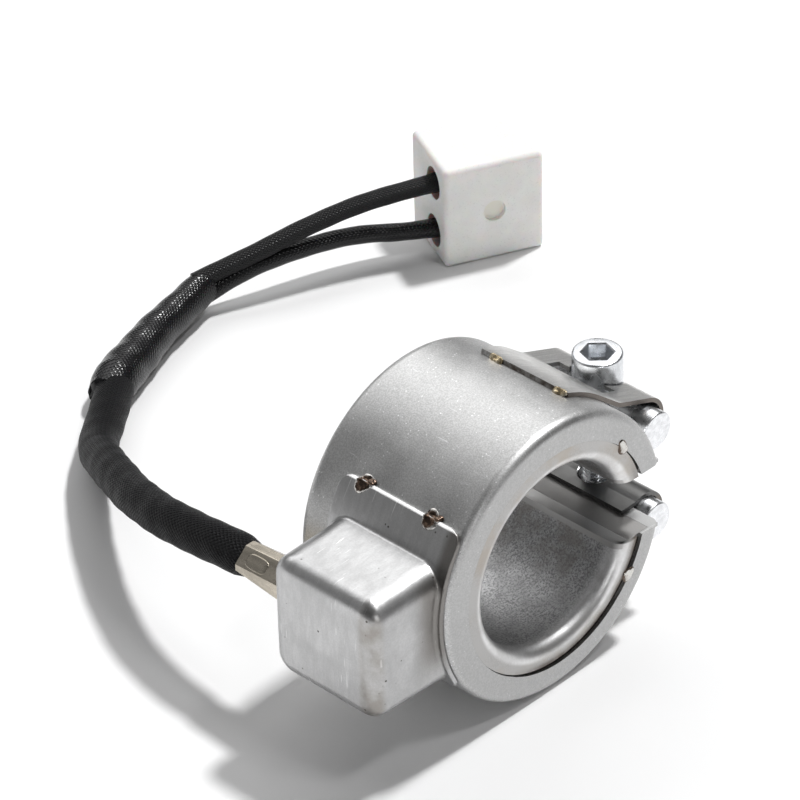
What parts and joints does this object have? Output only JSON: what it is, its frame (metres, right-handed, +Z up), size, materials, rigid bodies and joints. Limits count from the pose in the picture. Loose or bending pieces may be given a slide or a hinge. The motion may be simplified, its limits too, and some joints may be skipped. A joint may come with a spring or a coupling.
{
  "type": "band heater",
  "caption": "Clamp-on band heater: split sheet-metal ring with a screw clamp, a drawn terminal cap, a braided cable and a ceramic plug on its free end.",
  "frame": {"origin": "centre of the bore, halfway along the band", "axes": "+Y along the bore towards the side the cable leaves, +X towards the clamp, +Z up along the clamp screw towards its head"},
  "size_m": [0.1651, 0.1476, 0.06],
  "materials": {
    "shell": "satin",
    "cap": "satin",
    "strap": "satin",
    "clip": "semi-bright",
    "zinc": "bright",
    "weld": "heat tinted",
    "element": "plain",
    "mica": "plain",
    "blanket": "fibrous",
    "sleeve": "braided",
    "splice": "varnished",
    "plug": "matt",
    "contact": "plated"
  },
  "bodies": {
    "band": {"outer_shell": "shell", "inner_shell": "shell", "upper_end_plate": "shell", "lower_end_plate": "shell", "inner_mica": "mica", "heating_ribbon": "element", "outer_mica": "mica", "fibre_blanket": "blanket", "terminal_strips": "element", "terminal_bushing": "plug", "crimp_barrels": "contact", "cable_cores": "contact", "terminal_cap": "cap", "cable_clip": "clip", "upper_strap": "strap", "lower_strap": "strap", "upper_barrel_nut": "zinc", "lower_barrel_nut": "zinc", "strap_welds": "weld", "cap_welds": "weld", "seam_welds": "weld", "cable_sleeve": "sleeve", "splice_sleeve": "splice", "upper_lead": "sleeve", "lower_lead": "sleeve", "plug_body": "plug", "plug_contacts": "contact"},
    "screw": {"clamp_screw": "zinc"}
  },
  "joints": [
    {"name": "clamp_screw_turn", "type": "hinge", "parent": "band", "child": "screw", "pos_m": [0.0324, 0, 0.0146], "axis": [0, 0, 1], "continuous": true}
  ]
}
